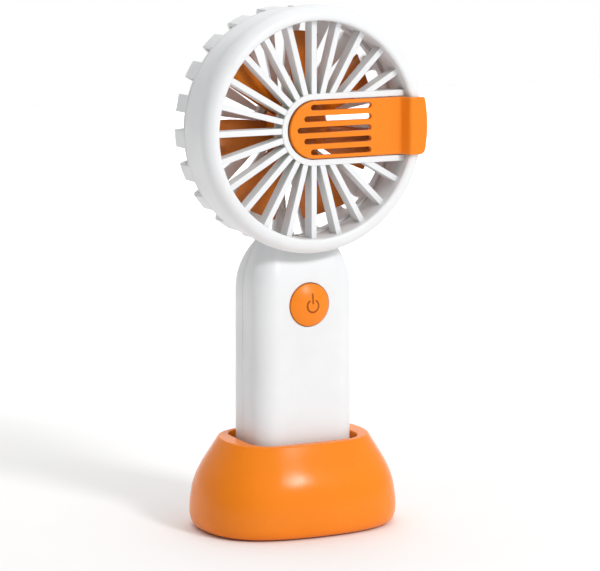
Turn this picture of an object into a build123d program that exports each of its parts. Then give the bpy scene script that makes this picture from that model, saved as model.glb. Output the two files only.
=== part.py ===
from build123d import *
import os
from math import cos, radians, sin

os.makedirs("parts", exist_ok=True)

# Handheld fan standing in a charging-style base. Millimetres, +Z up, the fan blows towards -Y.
# The origin is at the centre of the base's underside.

# Base
BASE_SECTIONS = [  # height, half width, half depth of the dome
    (0.6, 37.4, 27.6),
    (3.0, 39.5, 29.6),
    (8.0, 40.0, 30.0),
    (16.0, 39.0, 29.1),
    (24.0, 36.1, 26.2),
    (31.0, 32.1, 22.1),
    (40.0, 25.0, 15.4),
]
BASE_HOLLOW = [  # the same for the space inside, which is open below
    (-4.0, 34.2, 24.4),
    (4.0, 36.6, 26.7),
    (12.0, 37.2, 27.3),
    (20.0, 35.4, 25.5),
    (26.0, 32.8, 22.9),
    (31.0, 29.6, 19.6),
    (38.0, 24.4, 14.6),
]
BASE_FULLNESS = 0.7
HOLLOW_TOP = 31.0
RIM_HEIGHT = 35.2
RIM_SLOPE_DEG = 2.0
RIM_ROUND = 0.6
SOCKET_W = 46.0
SOCKET_D = 31.6
SOCKET_R = 8.4
SOCKET_FLOOR = 9.6
SOCKET_WALL = 1.8
SOCKET_RIB_TOP = 27.0
SOCKET_RIB_GAP = 0.4
PAD_TOP = 0.8
COVER_BOTTOM = 1.1
COVER_TOP = 3.0
COVER_INSET = 2.2
BALLAST_W = 44.0
BALLAST_D = 34.0
BALLAST_BOTTOM = 3.0
BALLAST_TOP = 7.2
BASE_SCREW_X = 31.0
BASE_SCREW_Y = 9.0

# Handle
HANDLE_W = 42.0
HANDLE_D = 27.0
HANDLE_R = 8.5
HANDLE_BOTTOM = 10.0
HANDLE_TOP = 111.0
NECK_BOTTOM = 92.0
NECK_R = 32.0
NECK_CORNER = 0.3
NECK_STEPS = 6
HANDLE_END_R = 1.2
SHELL_WALL = 2.0
PARTING_Y = 0.8
PARTING_GAP = 0.16

# Head, measured along the fan axis from the handle's middle plane, positive towards the front
HEAD_Z = 154.0
DRUM_R = 45.0
DRUM_BORE = 43.0
DRUM_FRONT = 14.3
DRUM_BACK = -0.72
NECK_WEB = 2.0

# Front cover
BEZEL_R = 46.7
BEZEL_INNER = 41.0
BEZEL_FRONT = 21.0
BEZEL_BACK = 14.5
BEZEL_ROUND = (4.2, 5.2)
BEZEL_LIP = 20.2
BEZEL_REBATE = 18.0
SPIGOT_R = 42.7
SPIGOT_BACK = 9.5
SPOKES = 24
SPOKE_W = 2.2
SPOKE_FRONT = 17.4
SPOKE_BACK = 12.2
HUB_RING_INNER = 11.3
HUB_RING_OUTER = 13.5
HUB_PLATE_BACK = 10.6
HUB_PLATE_FRONT = 12.0
HUB_PLATE_X = -6.6

# Clip
CLIP_HALF = 10.9
CLIP_NOSE = 10.55  # left short of the ring, so that the end can swing past it
CLIP_BACK = 16.6
CLIP_FRONT = 18.4
CLIP_STEP_X = 36.4
CLIP_STEP_RUN = 1.9
CLIP_STEP_T = 1.2
CLIP_STEP_ROUND = 1.6
TAB_BACK = 21.5
TAB_FRONT = 23.2
TAB_END_X = 45.8
TAB_CORNER_X = 44.6
TAB_ROUND_HIGH = 0.9
TAB_ROUND_LOW = 2.4
SLOTS = 5
SLOT_PITCH = 4.2
SLOT_W = 2.2
SLOT_RIGHT_X = 24.0
SLOT_LEFT_X = -7.5
SLOT_TAPER = 2.8
CLIP_PIN_X = -8.6
CLIP_PIN_DEPTH = 14.4
CLIP_PIN_R = 0.75
CLIP_KNUCKLE_R = 1.3
CLIP_KNUCKLES = (2.8, 4.2)
CLIP_LUGS = (4.4, 5.8)
RUNNING_FIT = 0.05
SPRING_WIRE_R = 0.22
SPRING_R = 1.05
SPRING_LENGTH = 4.4
SPRING_TURNS = 5
SPRING_LEG = 1.8

# Rear grille
RIBS = 21
TOOTH_DEG = 8.5
TOOTH_R = 45.0
TOOTH_WALL = 1.4
TOOTH_ROUND = 2.6
NOTCH_TOP = -1.9
REAR_FACE = -11.5
REAR_INNER = -9.9
REAR_RING_FRONT = -0.9
REAR_LIP = (41.9, 42.95)
REAR_LIP_FRONT = 1.6
LEAD_GATE = 1.8
SADDLE_GAP = 0.5
REAR_HUB_R = 12.0
REAR_HUB_FRONT = -8.0

# Impeller and motor
BLADES = 7
BLADE_R = 36.2
BLADE_T = 1.0
BLADE_MID = 2.3
BLADE_SECTIONS = [  # radius, then pitch, sweep and cover in degrees
    (10.5, 40.0, 0.0, 35.0),
    (19.0, 33.0, 0.0, 33.0),
    (28.0, 27.0, 0.25, 29.5),
    (38.5, 22.0, 1.5, 26.0),
]
IMPELLER_HUB_R = 11.4
SHAFT_R = 1.0
BEARING_R = 2.5
BEARING_TUBE_R = 3.4
STATOR_R = 8.1
ROTOR_R = 10.2
STATOR_TEETH = 6

# Power button, board and cell
BUTTON_Z = 87.2
BUTTON_R = 8.2
BUTTON_GAP = 0.3
BUTTON_EDGE = 14.0
BUTTON_CROWN = 16.2
BUTTON_FLANGE_R = 9.2
BUTTON_FLANGE_GAP = 0.6
BOARD_Y = 2.8
BOARD_T = 1.6
BOARD_W = 28.0
BOARD_BOTTOM = 80.5
BOARD_TOP = 101.0
PORT_Z = 95.0
PORT_W = 9.0
PORT_H = 3.3
CELL_R = 9.2
CELL_L = 65.0
CELL_BOTTOM = 13.6
CELL_Y = 0.8
LEAD_ROUTE = [(1.4, 101.5), (0.3, 107.0), (0.3, 112.0), (4.4, 116.4), (7.2, 122.0), (7.6, 141.4)]
SCREW_SPOTS = [(-14.6, 24.0), (14.6, 24.0), (-13.2, 76.5), (13.2, 76.5)]
SCREW_R = 1.0
BOSS_R = 2.6

HEAD = Plane(origin=(0, 0, HEAD_Z), x_dir=(1, 0, 0), z_dir=(0, -1, 0)).location


def save(shape, name):
    shape.label = name
    export_step(shape, f"parts/{name}.step")


def tube(r_out, r_in, low, high):
    """A ring about the local Z axis between two heights."""
    body = extrude(Plane.XY.offset(low) * Circle(r_out), amount=high - low)
    if r_in > 0:
        body -= extrude(Plane.XY.offset(low) * Circle(r_in), amount=high - low)
    return body


def turned(points):
    """A solid turned about the local Z axis from (radius, height) points."""
    return revolve(Plane.XZ * make_face(Polyline(*points, close=True)), Axis.Z)


def block(x0, x1, y0, y1, z0, z1):
    size = (x1 - x0, y1 - y0, z1 - z0)
    return Pos((x0 + x1) / 2, (y0 + y1) / 2, (z0 + z1) / 2) * Box(*size)


def polar(count, first_deg=0.0):
    return [first_deg + 360.0 * k / count for k in range(count)]


# ---------------------------------------------------------------- base

def base_loop(z, a, b):
    """A full-sided oval outline of the dome at one height, in four equal quarters."""
    k = BASE_FULLNESS
    quarters = [
        Bezier((a, 0), (a, k * b), (k * a, b), (0, b)),
        Bezier((0, b), (-k * a, b), (-a, k * b), (-a, 0)),
        Bezier((-a, 0), (-a, -k * b), (-k * a, -b), (0, -b)),
        Bezier((0, -b), (k * a, -b), (a, -k * b), (a, 0)),
    ]
    return Pos(0, 0, z) * make_face(quarters)


def base_loft(sections):
    return loft([base_loop(*section) for section in sections])


def rim_cutter():
    """Everything above the sloping top of the base."""
    plane = Plane(origin=(0, 0, RIM_HEIGHT)).rotated((RIM_SLOPE_DEG, 0, 0))
    return plane * extrude(Rectangle(120, 120), amount=40)


def socket_prism(extra, low, high):
    size = RectangleRounded(SOCKET_W + 2 * extra, SOCKET_D + 2 * extra, SOCKET_R + extra)
    return extrude(Plane.XY.offset(low) * size, amount=high - low)


def socket_ribs():
    """Short upright ribs in the socket that steady the handle."""
    half_w = HANDLE_W / 2 + SOCKET_RIB_GAP
    half_d = HANDLE_D / 2 + SOCKET_RIB_GAP
    ribs = Part()
    for side in (-1, 1):
        for x in (-9.0, 9.0):
            y0, y1 = sorted((side * half_d, side * (SOCKET_D / 2 + 1.0)))
            ribs += block(x - 0.8, x + 0.8, y0, y1, SOCKET_FLOOR - 1, SOCKET_RIB_TOP)
        x0, x1 = sorted((side * half_w, side * (SOCKET_W / 2 + 1.0)))
        ribs += block(x0, x1, -0.8, 0.8, SOCKET_FLOOR - 1, SOCKET_RIB_TOP)
    return ribs


def base_screw_spots():
    return [(sx * BASE_SCREW_X, sy * BASE_SCREW_Y) for sx in (-1, 1) for sy in (-1, 1)]


def make_base_shell():
    dome = base_loft(BASE_SECTIONS) - rim_cutter()
    dome -= socket_prism(0.0, SOCKET_FLOOR, 60)
    top = dome.faces().sort_by(Axis.Z)[-1]
    dome = fillet(top.edges(), RIM_ROUND)
    hollow = base_loft(BASE_HOLLOW) & block(-60, 60, -60, 60, -5, HOLLOW_TOP)
    well = socket_prism(SOCKET_WALL, SOCKET_FLOOR - SOCKET_WALL, 60)
    shell = dome - (hollow - well)
    shell -= socket_prism(0.0, SOCKET_FLOOR, 60)
    shell += socket_ribs() & socket_prism(1.0, SOCKET_FLOOR - 1, 60)
    bosses = Part()
    for x, y in base_screw_spots():
        bosses += Pos(x, y) * tube(2.8, 0, COVER_TOP, 26.0)
    shell += bosses & base_loft(BASE_SECTIONS[2:])
    for x, y in base_screw_spots():
        shell -= Pos(x, y) * tube(1.2, 0, COVER_TOP, 14.0)
    return shell


def base_plate(inset, low, high):
    """A flat plate that follows the dome's lower edge."""
    z, a, b = BASE_SECTIONS[0]
    return extrude(base_loop(low, a - inset, b - inset), amount=high - low)


def make_base_cover():
    plate = base_plate(COVER_INSET, COVER_BOTTOM, COVER_TOP)
    for x, y in base_screw_spots():
        plate -= Pos(x, y) * tube(1.6, 0, COVER_BOTTOM, COVER_TOP)
        plate -= Pos(x, y) * tube(2.7, 0, COVER_BOTTOM, COVER_BOTTOM + 1.0)
    return plate


def make_base_pad():
    return base_plate(COVER_INSET + 0.6, 0.0, PAD_TOP)


def make_base_ballast():
    plate = RectangleRounded(BALLAST_W, BALLAST_D, 6)
    return extrude(Plane.XY.offset(BALLAST_BOTTOM) * plate, amount=BALLAST_TOP - BALLAST_BOTTOM)


def make_base_screws():
    screws = []
    for x, y in base_screw_spots():
        head = tube(2.4, 0, COVER_BOTTOM, COVER_BOTTOM + 1.0)
        shank = tube(1.2, 0, COVER_BOTTOM + 1.0, 12.0)
        slot = block(-1.6, 1.6, -0.3, 0.3, COVER_BOTTOM, COVER_BOTTOM + 0.5)
        screws.append(Pos(x, y) * (head + shank - slot))
    return Compound(children=screws)


# ---------------------------------------------------------------- handle and drum

def neck_inset(z):
    """How far the neck has drawn in at one height."""
    rise = max(z - NECK_BOTTOM, 0.0)
    return NECK_R - (NECK_R ** 2 - rise ** 2) ** 0.5


def handle_plan(z, inset):
    drawn = neck_inset(z)
    w = HANDLE_W - 2 * (inset + drawn)
    d = HANDLE_D - 2 * (inset + drawn)
    return Pos(0, 0, z) * RectangleRounded(w, d, HANDLE_R - inset - NECK_CORNER * drawn)


def handle_form(inset=0.0):
    """The handle's upright form, drawn in towards the head, or its hollow when inset."""
    low = HANDLE_BOTTOM + inset
    top = HANDLE_TOP - inset
    grip = extrude(handle_plan(low, inset), amount=NECK_BOTTOM - low)
    step = (top - NECK_BOTTOM) / NECK_STEPS
    neck = loft([handle_plan(NECK_BOTTOM + k * step, inset) for k in range(NECK_STEPS + 1)])
    return grip + neck


def make_housing():
    """The handle and the head's round wall, before they are parted into two shells."""
    outer = handle_form()
    outer = fillet(outer.edges().group_by(Axis.Z)[0], HANDLE_END_R)
    saddle_r = TOOTH_R + SADDLE_GAP
    outer -= HEAD * tube(saddle_r, 0, -40, DRUM_BACK)
    outer += HEAD * tube(DRUM_R, 0, DRUM_BACK, DRUM_FRONT)
    inner = handle_form(SHELL_WALL) - HEAD * tube(DRUM_R, 0, -30, 30)
    inner -= HEAD * tube(saddle_r + SHELL_WALL, 0, -30, DRUM_BACK + NECK_WEB)
    body = outer - inner - HEAD * tube(DRUM_BORE, 0, -30, 30)
    body -= Pos(0, 0, 100) * tube(LEAD_GATE, 0, 0, 14)
    return body


def screw_boss(x, z, r, y0, y1):
    """A round boss along Y between two depths."""
    return Pos(x, y0, z) * Rot(-90, 0, 0) * tube(r, 0, 0, y1 - y0)


def button_tube(r, depth_back, depth_front):
    plane = Plane(origin=(0, 0, BUTTON_Z), x_dir=(1, 0, 0), z_dir=(0, -1, 0)).location
    return plane * tube(r, 0, depth_back, depth_front)


def make_front_shell(housing):
    shell = housing & block(-60, 60, -60, PARTING_Y - PARTING_GAP / 2, 0, 220)
    inside = handle_form(SHELL_WALL / 2)
    for x, z in SCREW_SPOTS:
        shell += screw_boss(x, z, BOSS_R, -HANDLE_D / 2, PARTING_Y) & inside
        shell -= screw_boss(x, z, SCREW_R, -8.0, PARTING_Y)
    shell -= button_tube(BUTTON_R + BUTTON_GAP, 5, 20)
    return shell


def make_rear_shell(housing):
    shell = housing & block(-60, 60, PARTING_Y + PARTING_GAP / 2, 60, 0, 220)
    inside = handle_form(SHELL_WALL / 2)
    for x, z in SCREW_SPOTS:
        shell += screw_boss(x, z, BOSS_R, PARTING_Y, HANDLE_D / 2) & inside
        shell -= screw_boss(x, z, SCREW_R + 0.2, PARTING_Y, 20)
        shell -= screw_boss(x, z, 2.1, HANDLE_D / 2 - 2.6, 20)
    for x, z in board_post_spots():
        shell += screw_boss(x, z, 2.0, BOARD_Y + BOARD_T, HANDLE_D / 2) & inside
        shell -= screw_boss(x, z, 0.7, BOARD_Y, BOARD_Y + BOARD_T + 4.0)
    port = RectangleRounded(PORT_W + 0.6, PORT_H + 0.6, 1.9)
    plane = Plane(origin=(0, 0, PORT_Z), x_dir=(1, 0, 0), z_dir=(0, 1, 0))
    shell -= extrude(plane.offset(5) * port, amount=20)
    return shell


def make_shell_screws():
    screws = []
    for x, z in SCREW_SPOTS:
        head_y = HANDLE_D / 2 - 2.6
        shank = screw_boss(x, z, SCREW_R, -7.0, head_y)
        head = screw_boss(x, z, 1.9, head_y, head_y + 1.4)
        cross = block(-1.2, 1.2, head_y + 0.8, head_y + 1.4, -0.25, 0.25)
        cross += block(-0.25, 0.25, head_y + 0.8, head_y + 1.4, -1.2, 1.2)
        screws.append(shank + head - Pos(x, 0, z) * cross)
    return Compound(children=screws)


# ---------------------------------------------------------------- front cover and clip

def bezel_ring():
    """The front ring: a rounded crown outside, a straight wall inside and a spigot for the drum."""
    across, rise = BEZEL_ROUND
    centre = (BEZEL_R - across, BEZEL_FRONT - rise)
    crown = EllipticalCenterArc(centre, across, rise, 0, arc_size=90)
    lip_mid = ((BEZEL_INNER + centre[0]) / 2 - 0.2, BEZEL_FRONT - 0.15)
    lip = ThreePointArc((centre[0], BEZEL_FRONT), lip_mid, (BEZEL_INNER, BEZEL_LIP))
    rest = Polyline(
        (BEZEL_INNER, BEZEL_LIP),
        (BEZEL_INNER, SPIGOT_BACK),
        (SPIGOT_R, SPIGOT_BACK),
        (SPIGOT_R, BEZEL_REBATE),
        (DRUM_R - 0.6, BEZEL_REBATE),
        (DRUM_R - 0.6, BEZEL_BACK),
        (BEZEL_R, BEZEL_BACK),
        (BEZEL_R, centre[1]),
    )
    return revolve(Plane.XZ * make_face([crown, lip, rest]), Axis.Z)


def cover_spokes():
    """Straight radial bars from the hub frame to the bezel."""
    reach = BEZEL_INNER + 0.8
    bars = Part()
    for angle in polar(SPOKES):
        bar = block(HUB_RING_OUTER - 0.9, reach, -SPOKE_W / 2, SPOKE_W / 2, SPOKE_BACK, SPOKE_FRONT)
        bars += Rot(0, 0, angle) * bar
    bars -= block(0, 60, -HUB_RING_INNER, HUB_RING_INNER, 0, 30)
    return bars


def hub_frame():
    """The frame round the clip's end, its two rails and the plate that carries the hinge."""
    ring = tube(HUB_RING_OUTER, HUB_RING_INNER, HUB_PLATE_BACK, SPOKE_FRONT + 0.2)
    ring -= block(0, 60, -HUB_RING_INNER, HUB_RING_INNER, 0, 30)
    plate = tube(HUB_RING_INNER + 0.5, 0, HUB_PLATE_BACK, HUB_PLATE_FRONT)
    frame = ring + (plate & block(-60, HUB_PLATE_X, -60, 60, 0, 30))
    for side in (-1, 1):
        y0, y1 = sorted((side * HUB_RING_INNER, side * HUB_RING_OUTER))
        frame += block(0, BEZEL_INNER - 0.6, y0, y1, SPOKE_BACK, SPOKE_FRONT + 0.2)
        y0, y1 = sorted((side * CLIP_LUGS[0], side * CLIP_LUGS[1]))
        frame += clip_lug(y0, y1, CLIP_KNUCKLE_R, HUB_PLATE_BACK, CLIP_PIN_DEPTH)
    return frame


def clip_lug(y0, y1, radius, low, high):
    """A rounded lug across the clip's hinge line."""
    barrel = Pos(CLIP_PIN_X, y1, CLIP_PIN_DEPTH) * Rot(90, 0, 0) * tube(radius, 0, 0, y1 - y0)
    web = block(CLIP_PIN_X - radius, CLIP_PIN_X + radius, y0, y1, low, high)
    return barrel + web


def clip_bore(radius):
    return Pos(CLIP_PIN_X, 8, CLIP_PIN_DEPTH) * Rot(90, 0, 0) * tube(radius, 0, 0, 16)


def make_front_cover():
    cover = bezel_ring() + cover_spokes() + hub_frame()
    cover -= clip_bore(CLIP_PIN_R) & block(-20, 20, -CLIP_LUGS[1], CLIP_LUGS[1], 0, 30)
    return HEAD * cover


def clip_outline():
    """Round at the hub, straight along the sides and bowed at the tab's end."""
    arc = ThreePointArc((0, CLIP_HALF), (-CLIP_NOSE, 0), (0, -CLIP_HALF))
    low = Line((0, -CLIP_HALF), (TAB_CORNER_X, -CLIP_HALF))
    end = ThreePointArc((TAB_CORNER_X, -CLIP_HALF), (TAB_END_X, 0), (TAB_CORNER_X, CLIP_HALF))
    high = Line((TAB_CORNER_X, CLIP_HALF), (0, CLIP_HALF))
    return make_face([arc, low, end, high])


def clip_slots():
    slots = Part()
    middle = SLOTS // 2
    for k in range(SLOTS):
        left = SLOT_LEFT_X + SLOT_TAPER * abs(k - middle)
        slot = SlotOverall(SLOT_RIGHT_X - left, SLOT_W)
        place = Pos((left + SLOT_RIGHT_X) / 2, (k - middle) * SLOT_PITCH, CLIP_BACK - 1)
        slots += place * extrude(slot, amount=4)
    return slots


def clip_profile():
    """The clip seen from its edge: a flat plate, a ramp and a raised tab, all one thickness."""
    foot_x = CLIP_STEP_X
    head_x = CLIP_STEP_X + CLIP_STEP_RUN
    points = [
        (-20, CLIP_BACK),
        (foot_x + CLIP_STEP_T, CLIP_BACK),
        (head_x + CLIP_STEP_T - 0.3, TAB_BACK),
        (60, TAB_BACK),
        (60, TAB_FRONT),
        (head_x, TAB_FRONT),
        (foot_x, CLIP_FRONT),
        (-20, CLIP_FRONT),
    ]
    face = make_face(Polyline(*points, close=True))
    bends = []
    for x, depth in ((head_x, TAB_FRONT), (foot_x, CLIP_FRONT)):
        bends.append(face.vertices().sort_by_distance(Vertex(x, depth, 0))[0])
    return fillet(bends, CLIP_STEP_ROUND)


def make_clip():
    side = extrude(Plane.XZ.offset(-30) * clip_profile(), amount=60)
    outline = extrude(Plane.XY.offset(CLIP_BACK) * clip_outline(), amount=10)
    arm = side & outline
    corners = arm.edges().filter_by(Axis.Z).filter_by_position(Axis.X, TAB_CORNER_X - 1, 60)
    arm = fillet(corners.sort_by(Axis.Y)[0], TAB_ROUND_LOW)
    corners = arm.edges().filter_by(Axis.Z).filter_by_position(Axis.X, TAB_CORNER_X - 1, 60)
    arm = fillet(corners.sort_by(Axis.Y)[-1], TAB_ROUND_HIGH)
    arm = fillet(arm.edges().group_by(Axis.Z)[-1], 0.6)
    arm -= clip_slots()
    for side_sign in (-1, 1):
        y0, y1 = sorted((side_sign * CLIP_KNUCKLES[0], side_sign * CLIP_KNUCKLES[1]))
        arm += clip_lug(y0, y1, CLIP_KNUCKLE_R, CLIP_PIN_DEPTH, CLIP_BACK + 0.2)
    arm -= clip_bore(CLIP_PIN_R + RUNNING_FIT)
    return HEAD * arm


def make_clip_pin():
    length = CLIP_LUGS[1]
    pin = Pos(CLIP_PIN_X, length, CLIP_PIN_DEPTH) * Rot(90, 0, 0) * tube(CLIP_PIN_R, 0, 0, 2 * length)
    return HEAD * pin


def make_clip_spring():
    """A torsion coil on the hinge pin with one leg on the hub plate and one behind the clip."""
    path = Helix(pitch=SPRING_LENGTH / SPRING_TURNS, height=SPRING_LENGTH, radius=SPRING_R)
    profile = Plane(origin=path @ 0, z_dir=path % 0) * Circle(SPRING_WIRE_R)
    coil = sweep(profile, path=path, is_frenet=True)
    leg = Rot(0, 90, 0) * tube(SPRING_WIRE_R, 0, 0, SPRING_LEG)
    legs = Pos(0, SPRING_R, 0) * leg + Pos(0, -SPRING_R, SPRING_LENGTH) * leg
    turn = Pos(CLIP_PIN_X, SPRING_LENGTH / 2, CLIP_PIN_DEPTH) * Rot(90, 0, 0)
    return HEAD * (turn * (coil + legs))


# ---------------------------------------------------------------- rear grille

def tooth_sectors(reach=60.0):
    """Wedges that stand where the ribs and teeth are, one of them straight down."""
    half = reach * sin(radians(TOOTH_DEG / 2))
    wedge = make_face(Polyline((0, 0), (reach, -half), (reach, half), close=True))
    solid = extrude(Plane.XY.offset(REAR_FACE - 2) * wedge, amount=20)
    sectors = Part()
    for angle in polar(RIBS, -90.0):
        sectors += Rot(0, 0, angle) * solid
    return sectors


def rear_cup():
    """The rear face and the side wall behind the drum, as one turned shell."""
    inner_r = TOOTH_R - TOOTH_WALL
    outline = [
        (REAR_HUB_R - 1, REAR_INNER),
        (inner_r, REAR_INNER),
        (inner_r, NOTCH_TOP),
        (TOOTH_R, NOTCH_TOP),
        (TOOTH_R, REAR_FACE),
        (REAR_HUB_R - 1, REAR_FACE),
    ]
    face = make_face(Polyline(*outline, close=True))
    heel = face.vertices().sort_by_distance(Vertex(TOOTH_R, REAR_FACE, 0))[0]
    face = fillet(heel, TOOTH_ROUND)
    heel = face.vertices().sort_by_distance(Vertex(inner_r, REAR_INNER, 0))[0]
    face = fillet(heel, TOOTH_ROUND - TOOTH_WALL)
    return revolve(Plane.XZ * face, Axis.Z)


def make_rear_grille():
    """A slotted cup: its slots run out along the rear face and over the edge, and leave teeth."""
    ring = turned([
        (REAR_LIP[0], NOTCH_TOP),
        (TOOTH_R, NOTCH_TOP),
        (TOOTH_R, REAR_RING_FRONT),
        (REAR_LIP[1], REAR_RING_FRONT),
        (REAR_LIP[1], REAR_LIP_FRONT),
        (REAR_LIP[0], REAR_LIP_FRONT),
    ])
    ring -= block(-LEAD_GATE, LEAD_GATE, -REAR_LIP[1] - 0.02, -40, REAR_RING_FRONT, 5)
    hub = tube(REAR_HUB_R, 0, REAR_FACE, REAR_HUB_FRONT)
    hub = fillet(hub.edges().group_by(Axis.Z)[0], 1.2)
    return HEAD * ((rear_cup() & tooth_sectors()) + ring + hub)


# ---------------------------------------------------------------- impeller and motor

def blade_section(radius, chord, pitch_deg, camber, lead_deg):
    """A thin cambered blade section standing across a radius."""
    plane = Plane(origin=(radius, 0, 0), x_dir=(0, 1, 0), z_dir=(1, 0, 0))
    c = cos(radians(pitch_deg))
    s = sin(radians(pitch_deg))
    shift = radius * sin(radians(lead_deg))

    def place(t, n):
        return (t * c - n * s + shift, t * s + n * c)

    half = chord / 2
    t2 = BLADE_T / 2
    upper = ThreePointArc(place(-half, t2), place(0, camber + t2), place(half, t2))
    lower = ThreePointArc(place(half, -t2), place(0, camber - t2), place(-half, -t2))
    tail = Line(place(half, t2), place(half, -t2))
    nose = Line(place(-half, -t2), place(-half, t2))
    return plane * make_face([upper, tail, lower, nose])


def make_blade():
    sections = []
    for radius, pitch, lead, cover in BLADE_SECTIONS:
        chord = 2 * radius * sin(radians(cover / 2)) / cos(radians(pitch))
        sections.append(blade_section(radius, chord, pitch, -0.09 * chord, lead))
    blade = Pos(0, 0, BLADE_MID) * loft(sections)
    return blade & tube(BLADE_R, IMPELLER_HUB_R - 0.6, -12, 14)


def make_impeller():
    hub = turned([
        (0, 9.0),
        (7.5, 8.8),
        (10.0, 8.2),
        (IMPELLER_HUB_R, 6.6),
        (IMPELLER_HUB_R, -2.0),
        (ROTOR_R, -2.0),
        (ROTOR_R, 6.5),
        (0, 6.5),
    ])
    blade = make_blade()
    wheel = hub
    for angle in polar(BLADES, 136.0):
        wheel += Rot(0, 0, angle) * blade
    wheel -= tube(SHAFT_R, 0, 6.0, 7.6)
    return HEAD * wheel


def make_shaft():
    return HEAD * tube(SHAFT_R, 0, -7.6, 7.6)


def make_rotor_bell():
    bell = turned([
        (SHAFT_R, 6.5),
        (ROTOR_R, 6.5),
        (ROTOR_R, -1.8),
        (ROTOR_R - 0.6, -1.8),
        (ROTOR_R - 0.6, 5.9),
        (SHAFT_R, 5.9),
    ])
    return HEAD * bell


def make_rotor_magnet():
    return HEAD * tube(ROTOR_R - 0.6, ROTOR_R - 1.5, -1.6, 4.8)


def make_motor_base():
    base = tube(9.5, BEARING_R, REAR_HUB_FRONT, -6.8)
    base += tube(BEARING_TUBE_R, BEARING_R, -6.8, 5.4)
    return HEAD * base


def make_motor_bearings():
    rings = [
        HEAD * tube(BEARING_R, SHAFT_R + 0.03, -6.6, -4.0),
        HEAD * tube(BEARING_R, SHAFT_R + 0.03, 2.6, 5.2),
    ]
    return Compound(children=rings)


def make_stator_core():
    core = tube(4.6, BEARING_TUBE_R, -1.0, 4.0)
    for angle in polar(STATOR_TEETH):
        core += Rot(0, 0, angle) * block(4.0, 7.4, -0.9, 0.9, -1.0, 4.0)
    rim = tube(STATOR_R, STATOR_R - 1.0, -1.0, 4.0)
    for angle in polar(STATOR_TEETH, 180.0 / STATOR_TEETH):
        rim -= Rot(0, 0, angle) * block(5.0, 10.0, -0.5, 0.5, -2, 5)
    return HEAD * (core + rim)


def make_stator_windings():
    coils = []
    for angle in polar(STATOR_TEETH):
        coil = block(4.9, 6.9, -1.6, 1.6, -1.7, 4.7) - block(4.0, 8.0, -0.95, 0.95, -1.05, 4.05)
        coils.append(HEAD * (Rot(0, 0, angle) * coil))
    return Compound(children=coils)


def make_motor_board():
    return HEAD * tube(8.4, BEARING_TUBE_R + 0.1, -4.6, -3.6)


# ---------------------------------------------------------------- button, board, cell, wiring

def make_power_button():
    """A shallow domed cap with a flange behind the shell and a stem to the switch."""
    flange_front = HANDLE_D / 2 - SHELL_WALL - BUTTON_FLANGE_GAP
    flange_back = flange_front - 1.2
    rise = BUTTON_CROWN - BUTTON_EDGE
    dome_r = (BUTTON_R ** 2 + rise ** 2) / (2 * rise)
    half = BUTTON_R / 2
    half_depth = BUTTON_CROWN - dome_r + (dome_r ** 2 - half ** 2) ** 0.5
    dome = ThreePointArc((0, BUTTON_CROWN), (half, half_depth), (BUTTON_R, BUTTON_EDGE))
    sides = Polyline((BUTTON_R, BUTTON_EDGE), (BUTTON_R, flange_back), (0, flange_back), (0, BUTTON_CROWN))
    face = make_face([dome, sides])
    edge = face.vertices().sort_by_distance(Vertex(BUTTON_R, BUTTON_EDGE, 0))[0]
    face = fillet(edge, 0.6)
    cap = revolve(Plane.XZ * face, Axis.Z)
    cap += tube(BUTTON_FLANGE_R, 0, flange_back, flange_front)
    cap += tube(1.8, 0, 3.3, flange_front)
    plane = Plane(origin=(0, 0, BUTTON_Z), x_dir=(1, 0, 0), z_dir=(0, -1, 0)).location
    return plane * cap


def make_switch_stem():
    return button_tube(1.6, 0.9, 3.2)


def make_tact_switch():
    body = block(-3.1, 3.1, -0.7, BOARD_Y, BUTTON_Z - 3.1, BUTTON_Z + 3.1)
    return body - button_tube(1.7, 0.0 - 1.2, 0.8)


def board_post_spots():
    return [(-11.0, 98.0), (11.0, 98.0)]


def make_circuit_board():
    board = block(-BOARD_W / 2, BOARD_W / 2, BOARD_Y, BOARD_Y + BOARD_T, BOARD_BOTTOM, BOARD_TOP)
    for x, z in board_post_spots():
        board -= screw_boss(x, z, 1.1, BOARD_Y, BOARD_Y + BOARD_T)
    return board


def make_board_chips():
    y0 = BOARD_Y + BOARD_T
    chips = [
        block(-11.0, -6.0, y0, y0 + 1.5, 84.0, 89.0),
        block(6.0, 11.0, y0, y0 + 2.4, 84.0, 89.0),
        block(-2.0, 2.0, y0, y0 + 1.2, 83.0, 86.0),
        block(8.0, 10.5, BOARD_Y - 1.2, BOARD_Y, 92.0, 94.0),
    ]
    return Compound(children=chips)


def make_board_screws():
    screws = []
    for x, z in board_post_spots():
        shank = screw_boss(x, z, 0.7, BOARD_Y, BOARD_Y + BOARD_T + 3.4)
        head = screw_boss(x, z, 1.7, BOARD_Y - 1.0, BOARD_Y)
        screws.append(shank + head)
    return Compound(children=screws)


def make_charge_port():
    back = BOARD_Y + BOARD_T
    plane = Plane(origin=(0, 0, PORT_Z), x_dir=(1, 0, 0), z_dir=(0, 1, 0))
    shell = extrude(plane.offset(back) * RectangleRounded(PORT_W, PORT_H, 1.6), amount=8.9)
    hole = RectangleRounded(PORT_W - 0.8, PORT_H - 0.8, 1.2)
    mouth = extrude(plane.offset(back + 2) * hole, amount=8)
    tongue = block(-3.3, 3.3, back + 1, 12.6, PORT_Z - 0.35, PORT_Z + 0.35)
    return shell - mouth + tongue


def make_battery_cell():
    can = Pos(0, CELL_Y, CELL_BOTTOM) * tube(CELL_R, 0, 0, CELL_L - 1.2)
    can = fillet(can.edges().group_by(Axis.Z)[-1], 1.0)
    return can + Pos(0, CELL_Y, CELL_BOTTOM) * tube(3.2, 0, CELL_L - 1.4, CELL_L)


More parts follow.
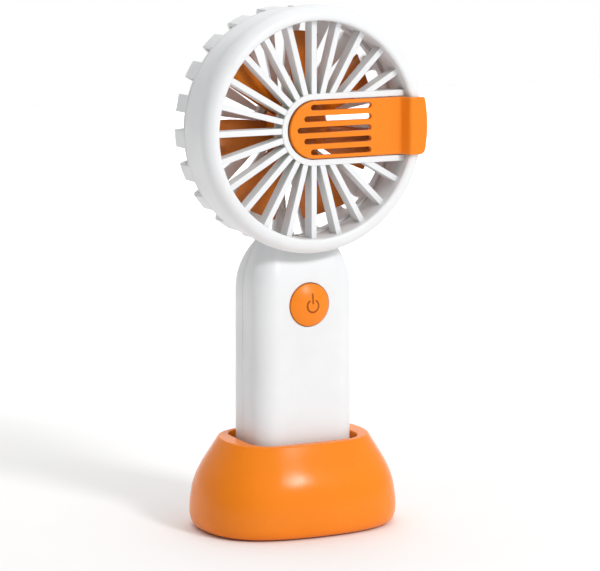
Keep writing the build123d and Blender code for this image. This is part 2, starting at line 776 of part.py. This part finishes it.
def make_cell_tabs():
    low = block(-3, 3, CELL_Y - 3, CELL_Y + 3, CELL_BOTTOM - 0.2, CELL_BOTTOM)
    high_z = CELL_BOTTOM + CELL_L
    high = block(-2.5, 2.5, CELL_Y - 2.5, CELL_Y + 2.5, high_z, high_z + 0.2)
    return Compound(children=[low, high])


def make_motor_leads():
    """Two thin insulated wires from the board, through the neck, to the motor."""
    leads = []
    for x in (-0.55, 0.55):
        path = Spline(*[(x, y, z) for y, z in LEAD_ROUTE])
        profile = Plane(origin=path @ 0, z_dir=path % 0) * Circle(0.4)
        leads.append(sweep(profile, path=path))
    return Compound(children=leads)


housing_form = make_housing()

save(make_base_shell(), "base_shell")
save(make_base_cover(), "base_cover")
save(make_base_pad(), "base_pad")
save(make_base_ballast(), "base_ballast")
save(make_base_screws(), "base_screws")
save(make_front_shell(housing_form), "front_shell")
save(make_rear_shell(housing_form), "rear_shell")
save(make_shell_screws(), "shell_screws")
save(make_front_cover(), "front_cover")
save(make_rear_grille(), "rear_grille")
save(make_clip(), "clip_arm")
save(make_clip_pin(), "clip_pin")
save(make_clip_spring(), "clip_spring")
save(make_impeller(), "impeller")
save(make_shaft(), "motor_shaft")
save(make_rotor_bell(), "rotor_bell")
save(make_rotor_magnet(), "rotor_magnet")
save(make_motor_base(), "motor_base")
save(make_motor_bearings(), "motor_bearings")
save(make_stator_core(), "stator_core")
save(make_stator_windings(), "stator_windings")
save(make_motor_board(), "motor_board")
save(make_power_button(), "power_button")
save(make_switch_stem(), "switch_stem")
save(make_tact_switch(), "tact_switch")
save(make_circuit_board(), "circuit_board")
save(make_board_chips(), "board_chips")
save(make_board_screws(), "board_screws")
save(make_charge_port(), "charge_port")
save(make_battery_cell(), "battery_cell")
save(make_cell_tabs(), "cell_tabs")
save(make_motor_leads(), "motor_leads")
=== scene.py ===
import math

import bmesh
import bpy
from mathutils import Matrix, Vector


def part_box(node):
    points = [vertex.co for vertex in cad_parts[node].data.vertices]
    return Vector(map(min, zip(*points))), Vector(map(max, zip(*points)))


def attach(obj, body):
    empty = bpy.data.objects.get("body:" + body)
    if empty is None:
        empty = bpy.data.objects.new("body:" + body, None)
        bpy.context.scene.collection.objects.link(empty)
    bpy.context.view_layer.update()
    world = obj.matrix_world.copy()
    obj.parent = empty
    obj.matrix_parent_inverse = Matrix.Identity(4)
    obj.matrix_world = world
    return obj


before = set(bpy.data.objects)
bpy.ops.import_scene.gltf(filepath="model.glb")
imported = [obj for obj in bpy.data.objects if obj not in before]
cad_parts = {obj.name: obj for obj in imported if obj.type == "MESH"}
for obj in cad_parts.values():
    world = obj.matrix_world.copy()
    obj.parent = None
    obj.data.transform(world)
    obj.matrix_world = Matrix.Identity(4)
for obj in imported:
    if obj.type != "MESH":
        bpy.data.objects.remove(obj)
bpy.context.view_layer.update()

# ------------------------------------------------------------------ node helpers


class Tree:
    """A small helper for building a material's nodes."""

    def __init__(self, name):
        self.material = bpy.data.materials.new(name)
        self.material.use_nodes = True
        self.nodes = self.material.node_tree.nodes
        self.links = self.material.node_tree.links
        self.nodes.clear()
        self.out = self.nodes.new("ShaderNodeOutputMaterial")
        self.bsdf = self.nodes.new("ShaderNodeBsdfPrincipled")
        self.links.new(self.bsdf.outputs["BSDF"], self.out.inputs["Surface"])
        self.coords = self.nodes.new("ShaderNodeTexCoord").outputs["Object"]

    def add(self, kind, **settings):
        """A new node of one kind, with its settings."""
        node = self.nodes.new(kind)
        for key, value in settings.items():
            setattr(node, key, value)
        return node

    def link(self, a, b):
        self.links.new(a, b)

    def noise(self, scale, detail=4.0, rough=0.55, coords=None):
        """A noise pattern's value, in object space unless other coordinates are given."""
        node = self.add("ShaderNodeTexNoise")
        node.inputs["Scale"].default_value = scale
        node.inputs["Detail"].default_value = detail
        node.inputs["Roughness"].default_value = rough
        self.link(coords or self.coords, node.inputs["Vector"])
        return node.outputs["Fac"]

    def ramp(self, value, low, high, out_low=0.0, out_high=1.0):
        """A value moved from one range to another and held inside it."""
        node = self.add("ShaderNodeMapRange", clamp=True)
        node.inputs["From Min"].default_value = low
        node.inputs["From Max"].default_value = high
        node.inputs["To Min"].default_value = out_low
        node.inputs["To Max"].default_value = out_high
        self.link(value, node.inputs["Value"])
        return node.outputs["Result"]

    def math(self, kind, a, b):
        """One sum on two sockets or numbers."""
        node = self.add("ShaderNodeMath", operation=kind)
        for socket, value in zip(node.inputs, (a, b)):
            if isinstance(value, (int, float)):
                socket.default_value = value
            else:
                self.link(value, socket)
        return node.outputs[0]

    def bump(self, strength, distance, height, normal=None):
        """Relief from a height pattern, over another normal if one is given."""
        node = self.add("ShaderNodeBump")
        node.inputs["Strength"].default_value = strength
        node.inputs["Distance"].default_value = distance
        self.link(height, node.inputs["Height"])
        if normal:
            self.link(normal, node.inputs["Normal"])
        self.link(node.outputs["Normal"], self.bsdf.inputs["Normal"])

    def mix(self, factor, a, b):
        """Two colours mixed by a socket or a number."""
        node = self.add("ShaderNodeMix", data_type="RGBA")
        sockets = (node.inputs[0], node.inputs[6], node.inputs[7])
        for socket, value in zip(sockets, (factor, a, b)):
            if isinstance(value, (int, float)):
                socket.default_value = value
            elif isinstance(value, tuple):
                socket.default_value = (*value, 1.0)
            else:
                self.link(value, socket)
        return node.outputs[2]


def scaled(color, factor):
    return tuple(min(1.0, c * factor) for c in color)


# ------------------------------------------------------------------ kinds of material

# Noise scales are in cycles per metre, lengths in metres.
DRIFT_SCALE = 38.0
SPECK_SCALE = 1900.0
SCUFF_SCALE = 420.0
SMUDGE_SCALE = 90.0
GRAIN_SCALE = 2600.0
SPECK_SHARE = 0.05
SPECK_TONE = 0.9
DRIFT_TONES = (0.97, 1.02)
SCUFF_SHARE = 0.5
SCUFF_POLISH = 0.08
EDGE_RADIUS = 0.00035
EDGE_TURN = (0.985, 0.80)
# Painted shade in hollows: the occlusion range that darkens them and how far the occlusion looks.
PAINTED_SHADE_RANGE = (0.08, 0.62)
GRAIN_DEPTH = 0.00002
PLASTIC_IOR = 1.49
SHADE_REACH_WHITE = 0.006
SHADE_REACH_ORANGE = 0.02


def edge_wear(t, bevel):
    """How scuffed an edge is, from how far its softened normal turns from the flat one."""
    plain = t.add("ShaderNodeNewGeometry").outputs["Normal"]
    dot = t.add("ShaderNodeVectorMath", operation="DOT_PRODUCT")
    t.link(bevel.outputs["Normal"], dot.inputs[0])
    t.link(plain, dot.inputs[1])
    worn = t.ramp(dot.outputs["Value"], *EDGE_TURN)
    return t.math("MULTIPLY", worn, t.ramp(t.noise(SCUFF_SCALE, 3.0), 0.42, 0.62))


def plastic(name, color, rough, specular=0.5, edge=1.05, painted_shade=None, shade_reach=0.01):
    """Moulded plastic: fine texture, slow colour drift, softened edges.

    With a painted shade colour, an ambient occlusion mask paints hollows darker: painted shade,
    which also sees neighbouring pieces.
    """
    t = Tree(name)
    drift = t.ramp(t.noise(DRIFT_SCALE, 3.0), 0.35, 0.65)
    speck = t.ramp(t.noise(SPECK_SCALE, 2.0), 0.35, 0.65)
    base = t.mix(drift, *(scaled(color, tone) for tone in DRIFT_TONES))
    base = t.mix(t.math("MULTIPLY", speck, SPECK_SHARE), base, scaled(color, SPECK_TONE))

    bevel = t.add("ShaderNodeBevel", samples=6)
    bevel.inputs["Radius"].default_value = EDGE_RADIUS
    scuff = edge_wear(t, bevel)
    base = t.mix(t.math("MULTIPLY", scuff, SCUFF_SHARE), base, scaled(color, edge))
    # Painted shade: an ambient occlusion mask darkens hollows toward the shade colour.
    if painted_shade:
        shade_ao = t.add("ShaderNodeAmbientOcclusion", samples=8)
        shade_ao.inputs["Distance"].default_value = shade_reach
        base = t.mix(t.ramp(shade_ao.outputs["AO"], *PAINTED_SHADE_RANGE), painted_shade, base)
    t.link(base, t.bsdf.inputs["Base Color"])

    smudge = t.ramp(t.noise(SMUDGE_SCALE, 5.0, 0.6), 0.35, 0.7, rough - 0.04, rough + 0.06)
    polished = t.math("SUBTRACT", smudge, t.math("MULTIPLY", scuff, SCUFF_POLISH))
    t.link(polished, t.bsdf.inputs["Roughness"])
    t.bump(0.35, GRAIN_DEPTH, t.noise(GRAIN_SCALE, 2.0), bevel.outputs["Normal"])
    t.bsdf.inputs["IOR"].default_value = PLASTIC_IOR
    t.bsdf.inputs["Specular IOR Level"].default_value = specular
    return t.material


METAL_GRAIN_SCALE = 1500.0
METAL_TINT_SCALE = 120.0


def metal(name, color, rough, stretch=(1.0, 1.0, 1.0)):
    """Drawn or plated metal with fine directional grain."""
    t = Tree(name)
    mapping = t.add("ShaderNodeMapping")
    mapping.inputs["Scale"].default_value = stretch
    t.link(t.coords, mapping.inputs["Vector"])
    grain = t.noise(METAL_GRAIN_SCALE, 3.0, coords=mapping.outputs["Vector"])
    patches = t.ramp(t.noise(METAL_TINT_SCALE), 0.3, 0.7)
    tint = t.mix(patches, scaled(color, 0.82), scaled(color, 1.05))
    t.link(tint, t.bsdf.inputs["Base Color"])
    t.bsdf.inputs["Metallic"].default_value = 1.0
    t.link(t.ramp(grain, 0.3, 0.7, rough - 0.07, rough + 0.1), t.bsdf.inputs["Roughness"])
    t.bump(0.25, GRAIN_DEPTH, grain)
    return t.material


RUBBER_SPECK_SCALE = 900.0
RUBBER_BUMP_SCALE = 1300.0
RUBBER_BUMP_DEPTH = 0.00006


def rubber(name, color):
    """Soft matt rubber or insulation with a speckled surface."""
    t = Tree(name)
    speck = t.ramp(t.noise(RUBBER_SPECK_SCALE, 3.0), 0.3, 0.7)
    t.link(t.mix(speck, scaled(color, 0.8), scaled(color, 1.3)), t.bsdf.inputs["Base Color"])
    t.link(t.ramp(t.noise(200.0), 0.3, 0.7, 0.7, 0.9), t.bsdf.inputs["Roughness"])
    t.bump(0.5, RUBBER_BUMP_DEPTH, t.noise(RUBBER_BUMP_SCALE, 3.0))
    return t.material


# ------------------------------------------------------------------ colours and finishes

WHITE = (0.80, 0.81, 0.82)
ORANGE = (0.90, 0.232, 0.008)
# Painted shade colours that hollows are darkened toward.
PAINTED_SHADE_ORANGE = (0.10, 0.030, 0.003)
PAINTED_SHADE_WHITE = (0.46, 0.50, 0.45)

white_shell = plastic("white_shell", WHITE, 0.38)
# The cover, grille and impeller carry painted shade in their hollows.
white_cover = plastic("white_cover", WHITE, 0.36, painted_shade=PAINTED_SHADE_WHITE, shade_reach=SHADE_REACH_WHITE)
white_grille = plastic("white_grille", scaled(WHITE, 0.97), 0.40, painted_shade=PAINTED_SHADE_WHITE, shade_reach=SHADE_REACH_WHITE)
orange_base = plastic("orange_base", ORANGE, 0.23, specular=0.26, edge=1.06)
orange_clip = plastic("orange_clip", ORANGE, 0.36, specular=0.30, edge=1.12)
orange_button = plastic("orange_button", ORANGE, 0.36, specular=0.30, edge=1.12)
orange_wheel = plastic(
    "orange_wheel", scaled(ORANGE, 0.95), 0.22, edge=1.1, painted_shade=PAINTED_SHADE_ORANGE, shade_reach=SHADE_REACH_ORANGE
)
mark_brown = plastic("mark_brown", (0.36, 0.075, 0.006), 0.5, specular=0.2)
black_plastic = plastic("black_plastic", (0.03, 0.03, 0.03), 0.5)
green_board = plastic("green_board", (0.015, 0.12, 0.05), 0.35)
blue_sleeve = plastic("blue_sleeve", (0.02, 0.12, 0.40), 0.25)
dark_magnet = plastic("dark_magnet", (0.08, 0.08, 0.09), 0.55)
white_lead = rubber("white_lead", (0.55, 0.56, 0.55))
black_pad = rubber("black_pad", (0.025, 0.025, 0.027))
zinc_screw = metal("zinc_screw", (0.62, 0.62, 0.64), 0.30)
motor_steel = metal("motor_steel", (0.50, 0.50, 0.52), 0.32, (1.0, 8.0, 1.0))
brass_ring = metal("brass_ring", (0.72, 0.50, 0.20), 0.35)
copper_coil = metal("copper_coil", (0.72, 0.30, 0.13), 0.30, (1.0, 6.0, 6.0))

LOOKS = {
    "base_shell": orange_base,
    "base_cover": black_plastic,
    "base_pad": black_pad,
    "base_ballast": motor_steel,
    "base_screws": zinc_screw,
    "front_shell": white_shell,
    "rear_shell": white_shell,
    "shell_screws": zinc_screw,
    "front_cover": white_cover,
    "rear_grille": white_grille,
    "clip_arm": orange_clip,
    "clip_pin": zinc_screw,
    "clip_spring": zinc_screw,
    "impeller": orange_wheel,
    "motor_shaft": motor_steel,
    "rotor_bell": motor_steel,
    "rotor_magnet": dark_magnet,
    "motor_base": motor_steel,
    "motor_bearings": brass_ring,
    "stator_core": motor_steel,
    "stator_windings": copper_coil,
    "motor_board": green_board,
    "power_button": orange_button,
    "switch_stem": black_plastic,
    "tact_switch": black_plastic,
    "circuit_board": green_board,
    "board_chips": black_plastic,
    "board_screws": zinc_screw,
    "charge_port": motor_steel,
    "battery_cell": blue_sleeve,
    "cell_tabs": zinc_screw,
    "motor_leads": white_lead,
}
for node, material in LOOKS.items():
    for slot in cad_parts[node].material_slots:
        slot.material = material

# ------------------------------------------------------------------ the mark on the button

MARK_RADIUS = 0.0024
MARK_HALF_WIDTH = 0.00036
MARK_GAP = math.radians(36.0)
MARK_SHIFT = (0.0003, -0.0002)
MARK_BAR = (0.0010, 0.0045)
MARK_LIFT = 0.00003
ARC_POINTS = 49
BAR_STEPS = 12


def arc_path(radius, gap, count):
    """Points of a ring that is open at the top."""
    spread = 2 * (math.pi - gap)
    angles = [math.pi / 2 + gap + spread * k / (count - 1) for k in range(count)]
    return [Vector((radius * math.cos(a), radius * math.sin(a))) for a in angles]


STROKE_ACROSS = (-1.0, -0.5, 0.0, 0.5, 1.0)
STROKE_CAP = [(0.97, 0.25), (0.7, 0.7)]  # how far out and how wide, in half widths


def stroke_row(point, side, half):
    return [point + side * w * half for w in STROKE_ACROSS]


def stroke_cap(point, side, outward, half):
    """The rows that round off one end of a stroke, the outermost first."""
    return [stroke_row(point + outward * half * out, side, half * wide) for out, wide in STROKE_CAP]


def stroke(bm, path, half, surface):
    """A flat round-ended stroke along a path, laid onto the surface."""
    last = len(path) - 1
    rows = []
    for k, point in enumerate(path):
        ahead = (path[min(k + 1, last)] - path[max(k - 1, 0)]).normalized()
        side = Vector((-ahead.y, ahead.x))
        if k == 0:
            rows += stroke_cap(point, side, -ahead, half)
        rows.append(stroke_row(point, side, half))
        if k == last:
            rows += stroke_cap(point, side, ahead, half)[::-1]
    grid = [[bm.verts.new(surface(p)) for p in row] for row in rows]
    for a, b in zip(grid, grid[1:]):
        for k in range(len(STROKE_ACROSS) - 1):
            bm.faces.new((a[k], a[k + 1], b[k + 1], b[k]))


def make_mark():
    """A plain standby mark that follows the button's dome."""
    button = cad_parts["power_button"]
    low, high = (Vector(c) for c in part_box("power_button"))
    centre_x = (low.x + high.x) / 2 + MARK_SHIFT[0]
    centre_z = (low.z + high.z) / 2 + MARK_SHIFT[1]

    def surface(point):
        start = Vector((centre_x + point.x, low.y - 0.01, centre_z + point.y))
        found, place, _, _ = button.ray_cast(start, Vector((0.0, 1.0, 0.0)))
        if not found:
            raise RuntimeError("the mark misses the button")
        return place - Vector((0.0, MARK_LIFT, 0.0))

    bm = bmesh.new()
    stroke(bm, arc_path(MARK_RADIUS, MARK_GAP, ARC_POINTS), MARK_HALF_WIDTH, surface)
    foot, head = MARK_BAR
    bar = [Vector((0.0, foot + (head - foot) * k / BAR_STEPS)) for k in range(BAR_STEPS + 1)]
    stroke(bm, bar, MARK_HALF_WIDTH, surface)
    bmesh.ops.recalc_face_normals(bm, faces=bm.faces)
    mesh = bpy.data.meshes.new("power_mark")
    bm.to_mesh(mesh)
    bm.free()
    for face in mesh.polygons:
        face.use_smooth = True
    mesh.materials.append(mark_brown)
    mark = bpy.data.objects.new("power_mark", mesh)
    bpy.context.collection.objects.link(mark)
    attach(mark, "button")


make_mark()

# ------------------------------------------------------------------ stage, light, camera

FLOOR_HALF = 1.6


def make_floor():
    mesh = bpy.data.meshes.new("floor")
    bm = bmesh.new()
    bmesh.ops.create_grid(bm, x_segments=2, y_segments=2, size=FLOOR_HALF)
    bm.to_mesh(mesh)
    bm.free()
    floor = bpy.data.objects.new("floor", mesh)
    bpy.context.collection.objects.link(floor)
    t = Tree("floor_pale")
    tint = t.mix(t.ramp(t.noise(6.0), 0.3, 0.7), (0.90, 0.895, 0.89), (0.93, 0.925, 0.92))
    t.link(tint, t.bsdf.inputs["Base Color"])
    t.bsdf.inputs["Roughness"].default_value = 0.75
    mesh.materials.append(t.material)
    return floor


def add_area(name, place, target, size, power, spread=math.pi):
    light = bpy.data.lights.new(name, "AREA")
    light.shape = "RECTANGLE"
    light.size = size[0]
    light.size_y = size[1]
    light.energy = power
    light.spread = spread
    lamp = bpy.data.objects.new(name, light)
    lamp.location = place
    direction = Vector(target) - Vector(place)
    lamp.rotation_euler = direction.to_track_quat("-Z", "Y").to_euler()
    bpy.context.collection.objects.link(lamp)


WORLD_FRONT = 0.46
WORLD_BACK = 1.0
SKY_SHARE = 0.3
WORLD_LEFT = 0.50
DEPTH_RANGE = (-0.2, 0.6)  # front to back, as parts of a unit direction
SIDE_RANGE = (-0.8, 0.1)  # left to right


def make_world():
    """A white studio: bright behind the object, dimmer above it, in front and to the left."""
    world = bpy.data.worlds.new("studio")
    bpy.context.scene.world = world
    world.use_nodes = True
    nodes = world.node_tree.nodes
    links = world.node_tree.links
    back = nodes["Background"]
    back.inputs["Color"].default_value = (1.0, 1.0, 1.0, 1.0)
    split = nodes.new("ShaderNodeSeparateXYZ")
    links.new(nodes.new("ShaderNodeTexCoord").outputs["Generated"], split.inputs["Vector"])
    level = nodes.new("ShaderNodeMapRange")
    level.inputs["From Min"].default_value = DEPTH_RANGE[0]
    level.inputs["From Max"].default_value = DEPTH_RANGE[1]
    level.inputs["To Min"].default_value = WORLD_FRONT
    level.inputs["To Max"].default_value = WORLD_BACK
    weaker = nodes.new("ShaderNodeMath")
    weaker.operation = "MULTIPLY"
    weaker.inputs[1].default_value = SKY_SHARE
    links.new(split.outputs["Z"], weaker.inputs[0])
    highest = nodes.new("ShaderNodeMath")
    highest.operation = "MAXIMUM"
    links.new(split.outputs["Y"], highest.inputs[0])
    links.new(weaker.outputs[0], highest.inputs[1])
    links.new(highest.outputs[0], level.inputs["Value"])
    shade = nodes.new("ShaderNodeMapRange")
    shade.inputs["From Min"].default_value = SIDE_RANGE[0]
    shade.inputs["From Max"].default_value = SIDE_RANGE[1]
    shade.inputs["To Min"].default_value = WORLD_LEFT
    shade.inputs["To Max"].default_value = 1.0
    links.new(split.outputs["X"], shade.inputs["Value"])
    product = nodes.new("ShaderNodeMath")
    product.operation = "MULTIPLY"
    links.new(level.outputs["Result"], product.inputs[0])
    links.new(shade.outputs["Result"], product.inputs[1])
    links.new(product.outputs[0], back.inputs["Strength"])


CAMERA_AZIMUTH = math.radians(-27.87)
CAMERA_ELEVATION = math.radians(8.71)
CAMERA_DISTANCE = 1.2083
CAMERA_TARGET = Vector((0.00318, 0.0, 0.0925))
CAMERA_LENS = 189.6


def make_camera():
    data = bpy.data.cameras.new("photo_view")
    data.lens = CAMERA_LENS
    data.sensor_width = 36.0
    camera = bpy.data.objects.new("photo_view", data)
    away = Vector((
        math.sin(CAMERA_AZIMUTH) * math.cos(CAMERA_ELEVATION),
        -math.cos(CAMERA_AZIMUTH) * math.cos(CAMERA_ELEVATION),
        math.sin(CAMERA_ELEVATION),
    ))
    camera.location = CAMERA_TARGET + away * CAMERA_DISTANCE
    camera.rotation_euler = (-away).to_track_quat("-Z", "Y").to_euler()
    bpy.context.collection.objects.link(camera)
    bpy.context.scene.camera = camera


make_floor()
make_world()
FAN = (0.0, 0.0, 0.1)
SWEEP_SPREAD = math.radians(70.0)
add_area("key", (0.33, -1.24, 0.92), FAN, (0.28, 0.28), 10.4)
add_area("sweep", (0.4, 1.3, 1.2), (0.4, 1.3, 0.0), (2.2, 1.4), 12.0, SWEEP_SPREAD)
add_area("top", (0.0, 0.1, 1.3), FAN, (1.0, 1.0), 3.0)
make_camera()
bpy.context.scene.view_settings.view_transform = "Standard"
